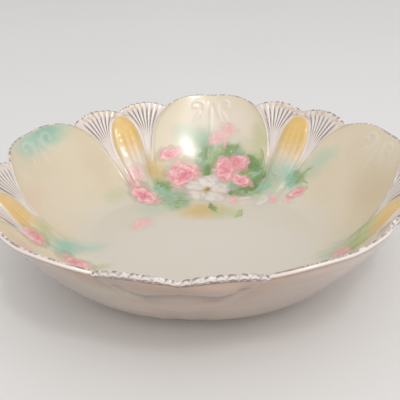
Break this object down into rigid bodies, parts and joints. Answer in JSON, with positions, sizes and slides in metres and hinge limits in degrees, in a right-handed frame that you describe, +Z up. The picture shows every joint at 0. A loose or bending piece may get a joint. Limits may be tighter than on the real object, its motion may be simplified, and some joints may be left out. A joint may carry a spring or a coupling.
{
  "type": "serving bowl",
  "caption": "Round porcelain serving bowl with a flat floor, lobed and scalloped rim, shell fans and domed petal bosses on the inner wall, and a low foot ring.",
  "frame": {"origin": "centre of the bowl's axis on the plane that it stands on, at the underside of the foot ring", "axes": "+Z up along the bowl's axis; one lobe lies on +Y and the boss opposite it on -Y"},
  "size_m": [0.2714, 0.2713, 0.0699],
  "materials": {
    "glazed_porcelain": "clear glaze over cream porcelain with soft painted flowers inside",
    "shell_fan": "clear glaze over white porcelain, gilt at the rib tips",
    "gilt_boss": "golden yellow lustre fading to cream at the tail",
    "foot_porcelain": "glazed sides, wiped dry under the foot"
  },
  "bodies": {
    "root": {"bowl_body": "glazed_porcelain", "foot_ring": "foot_porcelain", "boss_1": "gilt_boss", "boss_2": "gilt_boss", "boss_3": "gilt_boss", "boss_4": "gilt_boss", "boss_5": "gilt_boss", "fan_left_1": "shell_fan", "fan_left_2": "shell_fan", "fan_left_3": "shell_fan", "fan_left_4": "shell_fan", "fan_left_5": "shell_fan", "fan_right_1": "shell_fan", "fan_right_2": "shell_fan", "fan_right_3": "shell_fan", "fan_right_4": "shell_fan", "fan_right_5": "shell_fan"}
  },
  "joints": []
}
